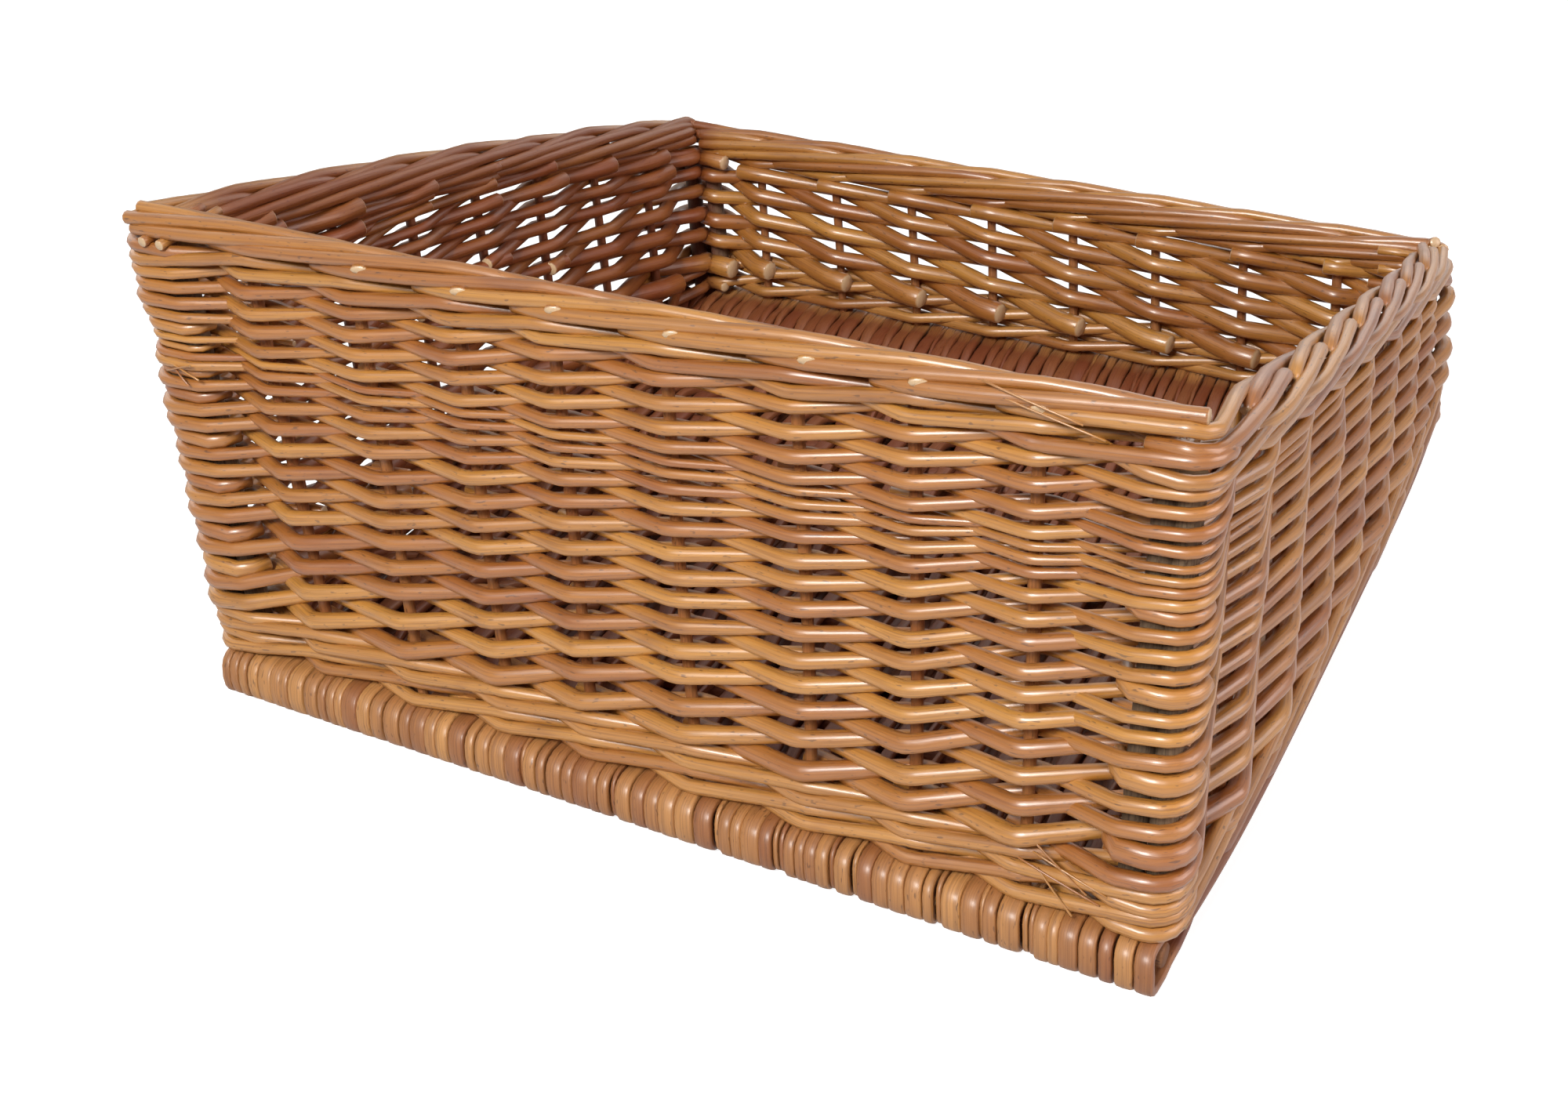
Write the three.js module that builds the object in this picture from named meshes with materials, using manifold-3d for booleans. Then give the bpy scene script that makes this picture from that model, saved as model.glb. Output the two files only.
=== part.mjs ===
// Willow shelf basket with one tall wall, one low wall and two ends whose rims slope between them.
// X runs along the tall wall, Y from the tall wall to the low wall, and Z up from the underside.
import * as THREE from "three";
import { mergeVertices } from "three/addons/utils/BufferGeometryUtils.js";
import Module from "manifold-3d";

// Driving dimensions, in millimetres.
const basketLength = 450;
const basketDepth = 446;
const tallHeight = 236;
const lowHeight = 123;
const wallThickness = 16;
const baseThickness = 20;
const waleHeight = 22;
const borderHeight = 24;
const borderOverhang = 1.5;
const stakeDiameter = 5;
const postDiameter = 10;
const postSpacing = 13;
const stickDiameter = 10;
const stickShowing = 3;
const stripThickness = 4.4;
const stripFlat = 8;
const stripTail = 18;

// How far the outermost stakes of a wall stand in from the posts beside them.
const wallStakeInset = 34;
const endStakeInset = 53;

// Weaving: how far apart the rows lie, and how far a rod stands out between two rows.
const weaveRowPitch = 10.4;
const waleRowPitch = 7.3;
const borderRowPitch = 8;
const ribDepth = 1.5;

// Share of its full thickness that a woven wall keeps halfway between two stakes.
const valleyShare = 0.42;

// Counts of repeated pieces.
const wallStakeCount = 8;
const endStakeCount = 7;
const stickCount = 7;
const stripCount = 21;

// Clearances: between stacked pieces, and round a stick or stake in its tunnel.
const seatGap = 0.3;
const tunnelGap = 0.3;

// How far two strips of the mat run into each other where they touch.
const stripOverlap = 0.2;

// Roundness of the rods, the ribs and the edge of the base.
const stakeSides = 8;
const postSides = 12;
const ribSteps = 2;
const noseSteps = 5;

// Heights and spans that follow from the sizes above.
const waleBottom = baseThickness + seatGap;
const weaveBottom = waleBottom + waleHeight + seatGap;
const rimSlope = (tallHeight - lowHeight) / basketDepth;
const endSpan = basketDepth - 2 * (wallThickness + borderOverhang + seatGap);
const longWallY = (basketDepth - wallThickness) / 2;
const endWallX = (basketLength - wallThickness) / 2;
const cornerPostX = endWallX;
const innerPostX = cornerPostX - postSpacing;

// Height of the rim over a point of an end wall.
const rimHeightAt = (y) => tallHeight - rimSlope * (y + basketDepth / 2);

const wasm = await Module();
wasm.setup();

const finish = (color, roughness) => ({ color, roughness, metalness: 0 });
const finishes = {
  weave: finish(0xb97c3f, 0.42),
  wale: finish(0xb27640, 0.42),
  border: finish(0xbf8849, 0.4),
  stake: finish(0xa56c3c, 0.5),
  post: finish(0x8d775c, 0.6),
  baseWeave: finish(0xad7840, 0.45),
  stick: finish(0x96683c, 0.55),
};

const basket = new THREE.Group();

function addPiece(parent, name, geometry, look) {
  const mesh = new THREE.Mesh(geometry, new THREE.MeshStandardMaterial(finishes[look]));
  mesh.name = name;
  parent.add(mesh);
  return mesh;
}

// A closed geometry as a solid that can be cut.
function solidOf(geometry) {
  const loose = geometry.index ? geometry.toNonIndexed() : geometry.clone();
  loose.deleteAttribute("normal");
  loose.deleteAttribute("uv");
  const merged = mergeVertices(loose);
  const triVerts = new Uint32Array(merged.index.array);
  const vertProperties = merged.attributes.position.array;
  return new wasm.Manifold(new wasm.Mesh({ numProp: 3, vertProperties, triVerts }));
}

// A solid as a geometry again.
function geometryOf(solid) {
  const { vertProperties, triVerts } = solid.getMesh();
  const made = new THREE.BufferGeometry();
  made.setAttribute("position", new THREE.BufferAttribute(vertProperties, 3));
  made.setIndex(new THREE.BufferAttribute(triVerts, 1));
  made.computeVertexNormals();
  return made;
}

// The geometry with every tool cut out of it.
function cut(geometry, tools) {
  return geometryOf(tools.reduce((rest, tool) => rest.subtract(solidOf(tool)), solidOf(geometry)));
}

// A straight round rod that stands at x, from one height to another.
function uprightRod(diameter, sides, x, bottom, top) {
  const rod = new THREE.CylinderGeometry(diameter / 2, diameter / 2, top - bottom, sides);
  rod.rotateX(Math.PI / 2);
  rod.translate(x, 0, (bottom + top) / 2);
  return rod;
}

// Turns a flat shape in Y and Z, drawn out along its third axis, to run along X.
const alongX = new THREE.Matrix4().makeBasis(
  new THREE.Vector3(0, 1, 0),
  new THREE.Vector3(0, 0, 1),
  new THREE.Vector3(1, 0, 0),
);

// A slab along X whose two faces bulge once for each row of rods, standing on z = bottom.
// Each stop is a place along X and the share of the full thickness that the slab has there.
function ribbedSlab(stops, thickness, bottom, height, rowPitch) {
  const rows = Math.max(1, Math.round(height / rowPitch));
  const valley = thickness / 2 - ribDepth;
  const points = [];
  for (let i = 0; i <= rows * ribSteps; i += 1) {
    const bulge = ribDepth * Math.abs(Math.sin((Math.PI * i) / ribSteps));
    points.push(new THREE.Vector2(valley + bulge, (height * i) / (rows * ribSteps)));
  }
  const farFace = points.map((p) => new THREE.Vector2(-p.x, p.y)).reverse();
  const section = new THREE.Shape([...points, ...farFace]);
  const steps = stops.length - 1;
  const slab = new THREE.ExtrudeGeometry(section, { depth: steps, steps, bevelEnabled: false });
  const corners = slab.attributes.position;
  for (let i = 0; i < corners.count; i += 1) {
    const [x, share] = stops[Math.round(corners.getZ(i))];
    corners.setX(i, corners.getX(i) * share);
    corners.setZ(i, x);
  }
  slab.applyMatrix4(alongX);
  slab.translate(0, 0, bottom);
  return slab;
}

// The stops of a slab that is equally thick all along.
function plainStops(span) {
  return [
    [-span / 2, 1],
    [span / 2, 1],
  ];
}

// The stops of a woven wall: full at its stakes and from each block edge out, and thin halfway between.
function weaveStops(span, blockEdge, places) {
  const full = [-blockEdge, ...places, blockEdge];
  const swells = full.slice(1).flatMap((x, i) => [
    [(full[i] + x) / 2, valleyShare],
    [x, 1],
  ]);
  const inner = [[-blockEdge, 1], ...swells];
  return span / 2 > blockEdge ? [[-span / 2, 1], ...inner, [span / 2, 1]] : inner;
}

// Evenly spaced places from -reach to reach.
function evenPlaces(reach, count) {
  return Array.from({ length: count }, (_, i) => -reach + (2 * reach * i) / (count - 1));
}

// The path of a strip of the mat: over and under the sticks, and half round the outermost on each side.
function stripPath(places, side) {
  const turnRadius = (baseThickness - stripThickness) / 2;
  const levelAt = (i) => (i % 2 === 0 ? side : -side) * turnRadius;
  const last = places.length - 1;
  const turnAt = (i, outward) =>
    Array.from({ length: noseSteps + 1 }, (_, k) => {
      const angle = (Math.PI * k) / noseSteps;
      const y = places[i] + outward * turnRadius * Math.sin(angle);
      return new THREE.Vector2(y, levelAt(i) * Math.cos(angle));
    });
  const crossings = places.slice(1, last).flatMap((y, i) => [
    new THREE.Vector2(y - stripFlat / 2, levelAt(i + 1)),
    new THREE.Vector2(y + stripFlat / 2, levelAt(i + 1)),
  ]);
  const nearFlat = new THREE.Vector2(places[0] + stripFlat / 2, levelAt(0));
  const farFlat = new THREE.Vector2(places[last] - stripFlat / 2, levelAt(last));
  const nearTail = new THREE.Vector2(places[0] + stripTail, -levelAt(0));
  const farTail = new THREE.Vector2(places[last] - stripTail, -levelAt(last));
  return [nearTail, ...turnAt(0, -1).reverse(), nearFlat, ...crossings, farFlat, ...turnAt(last, 1), farTail];
}

// The outline of a band that follows a path with half its thickness on either side.
function bandOutline(path, thickness) {
  const headings = path.slice(1).map((point, i) => point.clone().sub(path[i]).normalize());
  const beside = (reach) =>
    path.map((point, i) => {
      const before = headings[Math.max(i - 1, 0)];
      const after = headings[Math.min(i, headings.length - 1)];
      const mitre = before.clone().add(after).divideScalar(1 + before.dot(after));
      return new THREE.Vector2(point.x - reach * mitre.y, point.y + reach * mitre.x);
    });
  return new THREE.Shape([...beside(thickness / 2), ...beside(-thickness / 2).reverse()]);
}

// The base: lengthwise sticks, and a mat of strips that turn round the outermost stick on each long side.
function addBase() {
  const stickZ = baseThickness / 2;
  const outerStickY = basketDepth / 2 - stickZ;
  const places = evenPlaces(outerStickY, stickCount);
  const matLength = basketLength - 2 * stickShowing;
  const stripPitch = (matLength - stripOverlap) / stripCount;
  const strips = Array.from({ length: stripCount }, (_, i) => {
    const outline = bandOutline(stripPath(places, i % 2 === 0 ? 1 : -1), stripThickness);
    const depth = stripPitch + stripOverlap;
    const strip = new THREE.ExtrudeGeometry(outline, { depth, bevelEnabled: false });
    strip.applyMatrix4(alongX);
    strip.translate(-matLength / 2 + i * stripPitch, 0, stickZ);
    return solidOf(strip);
  });
  addPiece(basket, "base_weave", geometryOf(wasm.Manifold.union(strips)), "baseWeave");
  places.forEach((y, i) => {
    const stick = new THREE.CylinderGeometry(stickDiameter / 2, stickDiameter / 2, basketLength, postSides);
    stick.rotateZ(Math.PI / 2);
    stick.translate(0, y, stickZ);
    addPiece(basket, `base_stick_${i + 1}`, stick, "stick");
  });
}

// Tunnels through a wall for all the rods that stand in it.
function tunnelsFor(rods, top) {
  return rods.map((rod) => {
    const diameter = rod.diameter + 2 * tunnelGap;
    return uprightRod(diameter, rod.sides, rod.x, 0, top);
  });
}

// A tall or low wall: foot wale, woven wall and border, with its stakes and its four corner posts.
function addLongWall(name, side, height) {
  const wall = new THREE.Group();
  wall.position.y = side * longWallY;
  basket.add(wall);
  const borderBottom = height - borderHeight;
  const weaveHeight = borderBottom - seatGap - weaveBottom;
  const stakes = evenPlaces(innerPostX - wallStakeInset, wallStakeCount).map((x, i) => ({
    name: `${name}_wall_stake_${i + 1}`,
    look: "stake",
    x,
    diameter: stakeDiameter,
    sides: stakeSides,
  }));
  const posts = [
    ["left_corner", -cornerPostX],
    ["left_inner", -innerPostX],
    ["right_inner", innerPostX],
    ["right_corner", cornerPostX],
  ].map(([place, x]) => ({
    name: `${name}_${place}_post`,
    look: "post",
    x,
    diameter: postDiameter,
    sides: postSides,
  }));
  const rods = [...stakes, ...posts];
  const tunnels = tunnelsFor(rods, height);
  const borderSpan = basketLength + 2 * borderOverhang;
  const borderThickness = wallThickness + 2 * borderOverhang;
  const plain = plainStops(basketLength);
  const swelling = weaveStops(basketLength, innerPostX - postDiameter, stakes.map((stake) => stake.x));
  const rim = plainStops(borderSpan);
  const wale = ribbedSlab(plain, wallThickness, waleBottom, waleHeight, waleRowPitch);
  const weave = ribbedSlab(swelling, wallThickness, weaveBottom, weaveHeight, weaveRowPitch);
  const border = ribbedSlab(rim, borderThickness, borderBottom, borderHeight, borderRowPitch);
  addPiece(wall, `${name}_wall_wale`, cut(wale, tunnels), "wale");
  addPiece(wall, `${name}_wall_weave`, cut(weave, tunnels), "weave");
  addPiece(wall, `${name}_wall_border`, border, "border");
  rods.forEach((rod) => {
    const top = borderBottom - seatGap;
    addPiece(wall, rod.name, uprightRod(rod.diameter, rod.sides, rod.x, waleBottom, top), rod.look);
  });
}

// A left or right end, whose woven wall and border slope down from the tall wall to the low wall.
function addEndWall(name, side) {
  const wall = new THREE.Group();
  wall.position.x = side * endWallX;
  wall.rotation.z = Math.PI / 2;
  basket.add(wall);
  const stakes = evenPlaces(longWallY - endStakeInset, endStakeCount).map((x) => ({
    x,
    diameter: stakeDiameter,
    sides: stakeSides,
  }));
  const tunnels = tunnelsFor(stakes, tallHeight);
  const weaveTopAt = (y) => rimHeightAt(y) - borderHeight - seatGap;
  const weaveHeight = weaveTopAt(-endSpan / 2) - weaveBottom;
  const plain = plainStops(endSpan);
  const swelling = weaveStops(endSpan, endSpan / 2, stakes.map((stake) => stake.x));
  const wale = ribbedSlab(plain, wallThickness, waleBottom, waleHeight, waleRowPitch);
  const weave = ribbedSlab(swelling, wallThickness, weaveBottom, weaveHeight, weaveRowPitch);
  const aboveRim = new THREE.Shape([
    new THREE.Vector2(-endSpan, weaveTopAt(-endSpan)),
    new THREE.Vector2(endSpan, weaveTopAt(endSpan)),
    new THREE.Vector2(endSpan, weaveTopAt(-endSpan) + tallHeight),
    new THREE.Vector2(-endSpan, weaveTopAt(-endSpan) + tallHeight),
  ]);
  const slopeCutter = new THREE.ExtrudeGeometry(aboveRim, {
    depth: 2 * wallThickness,
    bevelEnabled: false,
  });
  slopeCutter.rotateX(Math.PI / 2);
  slopeCutter.translate(0, wallThickness, 0);
  const borderThickness = wallThickness + 2 * borderOverhang;
  const borderBottom = rimHeightAt(0) - borderHeight;
  const border = ribbedSlab(plain, borderThickness, borderBottom, borderHeight, borderRowPitch);
  const slope = new THREE.Matrix4();
  slope.elements[2] = -rimSlope;
  border.applyMatrix4(slope);
  addPiece(wall, `${name}_end_wale`, cut(wale, tunnels), "wale");
  addPiece(wall, `${name}_end_weave`, cut(weave, [slopeCutter, ...tunnels]), "weave");
  addPiece(wall, `${name}_end_border`, border, "border");
  stakes.forEach((rod, i) => {
    const top = weaveTopAt(rod.x + rod.diameter / 2);
    const stake = uprightRod(rod.diameter, rod.sides, rod.x, waleBottom, top);
    addPiece(wall, `${name}_end_stake_${i + 1}`, stake, "stake");
  });
}

addBase();
addLongWall("tall", -1, tallHeight);
addLongWall("low", 1, lowHeight);
addEndWall("left", -1);
addEndWall("right", 1);

export default basket;
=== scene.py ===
import bpy
import numpy as np
from mathutils import Matrix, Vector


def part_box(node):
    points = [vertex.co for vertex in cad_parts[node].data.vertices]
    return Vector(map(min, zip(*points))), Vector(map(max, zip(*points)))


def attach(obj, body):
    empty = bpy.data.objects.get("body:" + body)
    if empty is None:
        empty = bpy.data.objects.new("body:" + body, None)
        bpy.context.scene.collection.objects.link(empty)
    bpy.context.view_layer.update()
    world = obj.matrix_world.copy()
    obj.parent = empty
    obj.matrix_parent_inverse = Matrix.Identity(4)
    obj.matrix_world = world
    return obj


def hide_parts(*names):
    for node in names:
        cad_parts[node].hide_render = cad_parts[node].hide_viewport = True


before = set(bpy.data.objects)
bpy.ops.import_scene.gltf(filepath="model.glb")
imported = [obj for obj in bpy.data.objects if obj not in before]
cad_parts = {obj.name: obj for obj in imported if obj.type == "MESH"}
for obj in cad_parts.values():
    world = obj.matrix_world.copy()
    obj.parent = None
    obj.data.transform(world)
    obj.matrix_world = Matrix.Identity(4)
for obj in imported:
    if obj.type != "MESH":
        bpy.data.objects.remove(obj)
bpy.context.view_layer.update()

# Lengths are in metres unless a note says mm. X runs along the tall wall, Y from it to the low wall, Z up.
basket = dict(
    tall=0.236,
    low=0.123,
    length=0.450,
    depth=0.446,
    wallX=0.217,  # middle of the end walls
    wallY=0.215,  # middle of the tall and low walls
    turn=0.0015,  # radius of that middle line at a corner
    turnPoints=17,
    waleFoot=0.0225,
    weaveFoot=0.0426,
    border=0.024,  # what the border takes of the height
    stake=0.0025,  # radii
    post=0.005,
    shift=[5, 7, 6, 0, 0, 4, 0, -4],  # mm that each stake of the tall wall stands off its node
    seed=11,
)
mm = 0.001
chance = np.random.default_rng(basket["seed"])

# How far each corner stands off a true box, in mm: tall left, tall right, low right, low left.
lean = dict(
    base=[[0, 1, 0], [0, -7, 0], [1, 4, 0], [0, -2, 0]],
    foot=[[-4, 8, 0], [-4, -2, 0], [0, 1, 0], [0, -2, 0]],
    rim=[[-4, 4, 1], [-2, 3, -2], [-5, -2, -2], [-4, 1, 6]],
    leftBow=4,
    rightBow=10,
    tallBow=-1,
    matBow=0.3,  # share of the right bow that the mat has
    rimLoss=0.35,  # share of it that is lost by the rim
    blendFrom=0.012,  # the lean of the mat passes into that of the walls from here
    blendOver=0.018,
)


def rimOver(y):
    slope = (basket["tall"] - basket["low"]) / basket["depth"]
    return basket["tall"] - slope * (y + basket["depth"] / 2)


def handmade(points):
    # moved = p + (1 - b) sum w_i base_i + b ((1 - h) sum w_i foot_i + h sum w_i rim_i) + bows, with w_i the
    # weights of the four corners, h the share of the rim's height, and b from 0 in the mat to 1 in the walls
    u = points[..., 0] / basket["length"] + 0.5
    v = points[..., 1] / basket["depth"] + 0.5
    h = np.clip(points[..., 2] / rimOver(points[..., 1]), 0, 1.05)
    b = np.clip((points[..., 2] - lean["blendFrom"]) / lean["blendOver"], 0, 1)
    weights = np.stack([(1 - u) * (1 - v), u * (1 - v), u * v, (1 - u) * v], -1)
    atBase, atFoot, atRim = (weights @ np.array(lean[level]) for level in ("base", "foot", "rim"))
    wall = (1 - h)[..., None] * atFoot + h[..., None] * atRim
    move = (1 - b)[..., None] * atBase + b[..., None] * wall
    bow = (lean["matBow"] + (1 - lean["matBow"]) * b) * u * lean["rightBow"]
    move[..., 0] += bow * (1 - lean["rimLoss"] * h) * (1 - (2 * v - 1) ** 4)
    move[..., 2] += h * (1 - u) * lean["leftBow"] * (1 - (2 * v - 1) ** 2)
    move[..., 2] += h * (1 - v) * lean["tallBow"] * (1 - (2 * u - 1) ** 2)
    return points + move * mm


def outline():
    # x, y and outward direction along the middle of the walls: a rectangle with round corners
    r = basket["turn"]
    x, y = basket["wallX"] - r, basket["wallY"] - r
    angle = np.radians(np.linspace(-90, 0, basket["turnPoints"]))
    points = [np.array([[-x, -y - r, 0, -1]])]
    for cx, cy, quarter in ((x, -y, 0), (x, y, 1), (-x, y, 2), (-x, -y, 3)):
        a = angle + quarter * np.pi / 2
        c, s = np.cos(a), np.sin(a)
        points.append(np.stack([cx + r * c, cy + r * s, c, s], -1))
    return np.concatenate(points)


ring = outline()
ringAt = np.concatenate([[0], np.cumsum(np.hypot(*np.diff(ring[:, :2], axis=0).T))])
around = ringAt[-1]
arcStarts = 1 + basket["turnPoints"] * np.arange(4)
arcEnds = ringAt[np.stack([arcStarts, arcStarts + basket["turnPoints"] - 1], -1).ravel()]
arcMids = ringAt[arcStarts + basket["turnPoints"] // 2]
tallTurn = rimOver(-basket["wallY"] + basket["turn"])
lowTurn = rimOver(basket["wallY"] - basket["turn"])
rimKeys = [basket["tall"], tallTurn, lowTurn, basket["low"]]


def rimAlong(s):
    keys = np.concatenate([[0], arcEnds])
    return np.interp(np.mod(s, around), keys, [basket["tall"]] + rimKeys + rimKeys[::-1])


def onWall(s, q, z):
    # s runs round the basket, q stands out from the middle of the wall, z is the height
    t = np.mod(s, around)
    x, y, nx, ny = (np.interp(t, ringAt, ring[:, i]) for i in range(4))
    return handmade(np.stack([x + q * nx, y + q * ny, z], -1))


def middle(node):
    low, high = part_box(node)
    return np.array([(low[i] + high[i]) / 2 for i in range(3)])


def alongTo(point, step=0.00025):
    s = np.arange(0, around, step)
    x, y = (np.interp(s, ringAt, ring[:, i]) for i in range(2))
    return s[np.argmin(np.hypot(x - point[0], y - point[1]))]


# Woven rods: where a rod holds its side of a station, and how it swings across between two stations.
woven = dict(
    near=0.0045,  # how far the posts reach along the wall, before and after a corner
    far=0.0135,
    tallRight=0.0105,
    arc=[-0.0013, -0.0006, 0, 0.0006, 0.0013],  # points round the corner itself
    slim=0.78,  # the rods are slimmer at the tall right corner
    lumps=[(2, 4, 7, 10, 13, 15, 18, 20), (1, 4, 8, 12)],  # places of short rods at the two tall corners
    steps=[0.045, 0.11, 0.3, 0.5, 0.7, 0.89, 0.955],  # shares of the way to the next station
    swing=[0.014, 0.07, 0.28, 0.5, 0.72, 0.93, 0.986],  # shares of the way across the wall there
    slack=0.0004,
    uneven=0.0003,
    inside=0.0005,  # inside a corner a rod cuts across this far short of its turn
    bend=0.004,  # and runs straight from this far outside the posts
    ease=0.004,  # heights are evened out over this length, either way
    tailIn=0.0022,
    tailOut=1.1,
)


def stationTable():
    # the 34 stations that the weaving passes, to the right round the outside from the tall left corner
    def corner(at, before, after, **more):
        return dict(at=at, before=before, after=after, thick=basket["post"], corner=True, **more)

    near, far = woven["near"], woven["far"]
    walls = [
        ("tall_wall_stake_", range(1, 9)),
        ("right_end_stake_", range(1, 8)),
        ("low_wall_stake_", range(8, 0, -1)),
        ("left_end_stake_", range(7, 0, -1)),
    ]
    corners = [
        corner(arcMids[0], woven["tallRight"], near, lumps=woven["lumps"][1], slim=woven["slim"]),
        corner(arcMids[1], near, far),
        corner(arcMids[2], far, near),
    ]
    table = [corner(arcMids[3] - around, near, far, lumps=woven["lumps"][0])]
    for turn, (name, numbers) in enumerate(walls):
        for number in numbers:
            shift = basket["shift"][number - 1] * mm if turn == 0 else 0
            at = alongTo(middle(f"{name}{number}")) + shift
            table.append(dict(at=at, thick=basket["stake"], corner=False))
        table += corners[turn : turn + 1]
    return table


stations = stationTable()
count = len(stations)
tallRight, lowRight, lowLeft = (i for i in range(1, count) if stations[i]["corner"])
print("stations", count)


def stationAt(place):
    # arc length of a station number, which may be between two stations or past a full turn
    laps = np.arange(-1, 4)
    at = np.concatenate([[row["at"] + lap * around for row in stations] for lap in laps])
    return np.interp(place, np.arange(-count, 4 * count), at)


def soften(values, width):
    # moving average with a triangular weight
    kernel = np.concatenate([np.arange(1, width + 1), np.arange(width - 1, 0, -1)]).astype(float)
    padded = np.concatenate([np.full(width - 1, values[0]), values, np.full(width - 1, values[-1])])
    return np.convolve(padded, kernel / kernel.sum(), "valid")


def rodOf(points, radius, upright=(0, 0, 1), wide=None, square=1.0):
    wide = radius if wide is None else wide
    return dict(points=points, radius=radius, wide=wide, upright=upright, square=square, tone=chance.random())


def wovenRod(places, sides, heights, radii, startTail, endTail):
    # q is +-(stake + rod) at each station; between two it runs straight across, rounded at both ends
    at = stationAt(np.array(places, float))
    steps, swing = np.array(woven["steps"]), np.array(woven["swing"])
    s, q = [], []
    for place, mid, side, r in zip(places, at, sides, radii):
        row = stations[place % count]
        out = side * (row["thick"] + r + woven["slack"]) + chance.normal(0, woven["uneven"])
        inner = abs(out) + woven["inside"]
        if not row["corner"]:
            bend = np.array([mid])
        elif side > 0:
            bend = mid + np.array([-row["before"], *woven["arc"], row["after"]])
        else:
            first = -max(row["before"], inner) - woven["bend"]
            last = max(row["after"], inner) + woven["bend"]
            bend = mid + np.array([first, -inner, inner, last])
        hold = np.full(len(bend), out)
        if s:
            s.append(s[-1][-1] + (bend[0] - s[-1][-1]) * steps)
            q.append(q[-1][-1] + (hold[0] - q[-1][-1]) * swing)
        s.append(bend)
        q.append(hold)
    s = np.concatenate([[s[0][0] - startTail]] + s + [[s[-1][-1] + endTail]])
    q = np.concatenate([[q[0][0] - woven["tailIn"]]] + q + [[q[-1][-1] * woven["tailOut"]]])
    before, here, after = (np.interp(s + way * woven["ease"], at, heights) for way in (-1, 0, 1))
    z = 0.4 * here + 0.3 * (before + after)
    r = np.interp(s, at, radii) * chance.uniform(0.96, 1.04, len(s))
    return rodOf(onWall(s, q, z), r)


# Every rod ends in a rounded edge and a nearly closed face.
rodEnd = dict(face=0.05, edge=0.86, round=0.16)


def rodSurface(rod, sides):
    # ring = centre + across * r cos a + over * w sin a; two smaller rings close each end
    p, r, w = rod["points"], rod["radius"], rod["wide"]
    tangent = np.gradient(p, axis=0)
    tangent /= np.linalg.norm(tangent, axis=1, keepdims=True)
    across = np.cross(rod["upright"], tangent)
    across /= np.linalg.norm(across, axis=1, keepdims=True)
    over = np.cross(tangent, across)
    n = len(p)
    pick = np.concatenate([[0, 0], np.arange(n), [n - 1, n - 1]])
    scale = np.ones(n + 4)
    scale[[0, 1, -2, -1]] = [rodEnd["face"], rodEnd["edge"], rodEnd["edge"], rodEnd["face"]]
    centre = p[pick]
    centre[2] += tangent[0] * r[0] * rodEnd["round"]
    centre[-3] -= tangent[-1] * r[-1] * rodEnd["round"]
    a = np.linspace(0, 2 * np.pi, sides, endpoint=False)
    c = (r[pick] * scale)[:, None] * np.sign(np.cos(a)) * np.abs(np.cos(a)) ** rod["square"]
    d = (w[pick] * scale)[:, None] * np.sign(np.sin(a)) * np.abs(np.sin(a)) ** rod["square"]
    points = centre[:, None] + c[..., None] * across[pick][:, None] + d[..., None] * over[pick][:, None]
    along = np.concatenate([[0], np.cumsum(np.linalg.norm(np.diff(p, axis=0), axis=1))])[pick]
    along = along + 40 * rod["tone"]  # no two rods share a stretch of grain
    space = np.stack([np.broadcast_to(along[:, None], c.shape), c, d], -1)
    cut = np.zeros(n + 4)
    cut[[0, 1, -2, -1]] = 1
    return points, space, np.repeat(cut, sides)


def addPiece(name, rods, sides, nodes, material):
    points, space, cut, tone, faces, start = [], [], [], [], [], 0
    for rod in rods:
        p, q, e = rodSurface(rod, sides)
        rings = len(p)
        i, j = np.meshgrid(np.arange(rings - 1), np.arange(sides), indexing="ij")
        a = start + i * sides + j
        b = start + i * sides + (j + 1) % sides
        faces += np.stack([a, b, b + sides, a + sides], -1).reshape(-1, 4).tolist()
        faces.append(list(range(start + sides - 1, start - 1, -1)))
        faces.append(list(range(start + (rings - 1) * sides, start + rings * sides)))
        start += rings * sides
        points.append(p.reshape(-1, 3))
        space.append(q.reshape(-1, 3))
        cut.append(e)
        tone.append(np.full(len(e), rod["tone"]))
    mesh = bpy.data.meshes.new(name)
    mesh.from_pydata(np.concatenate(points).tolist(), [], faces)
    mesh.polygons.foreach_set("use_smooth", np.ones(len(faces), bool))
    for label, kind, key, values in (
        ("rodSpace", "FLOAT_VECTOR", "vector", np.concatenate(space)),
        ("rodTone", "FLOAT", "value", np.concatenate(tone)),
        ("rodCut", "FLOAT", "value", np.concatenate(cut)),
    ):
        mesh.attributes.new(label, kind, "POINT").data.foreach_set(key, values.astype(np.float32).ravel())
    mesh.materials.append(material)
    piece = bpy.data.objects.new(name, mesh)
    bpy.context.scene.collection.objects.link(piece)
    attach(piece, "root")
    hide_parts(*nodes)
    print(f"{name}: {len(rods)} rods, {sum(len(f) - 2 for f in faces)} triangles")


class Wire:
    def __init__(self, tree, socket=None):
        self.tree = tree
        self.socket = socket

    def node(self, kind, settings, inputs, output=0):
        made = self.tree.nodes.new(kind)
        for key, value in settings.items():
            setattr(made, key, value)
        for key, value in inputs.items():
            if isinstance(value, Wire):
                self.tree.links.new(value.socket, made.inputs[key])
            else:
                made.inputs[key].default_value = value
        return Wire(self.tree, made.outputs[output] if made.outputs else None)

    def math(self, operation, *values):
        return self.node("ShaderNodeMath", dict(operation=operation), dict(enumerate(values)))

    def __add__(self, other):
        return self.math("ADD", self, other)

    def __radd__(self, other):
        return self.math("ADD", other, self)

    def __sub__(self, other):
        return self.math("SUBTRACT", self, other)

    def __rsub__(self, other):
        return self.math("SUBTRACT", other, self)

    def __mul__(self, other):
        return self.math("MULTIPLY", self, other)

    def __rmul__(self, other):
        return self.math("MULTIPLY", other, self)


def srgb(r, g, b):
    return tuple(float((c / 255) ** 2.2) for c in (r, g, b)) + (1.0,)


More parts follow.
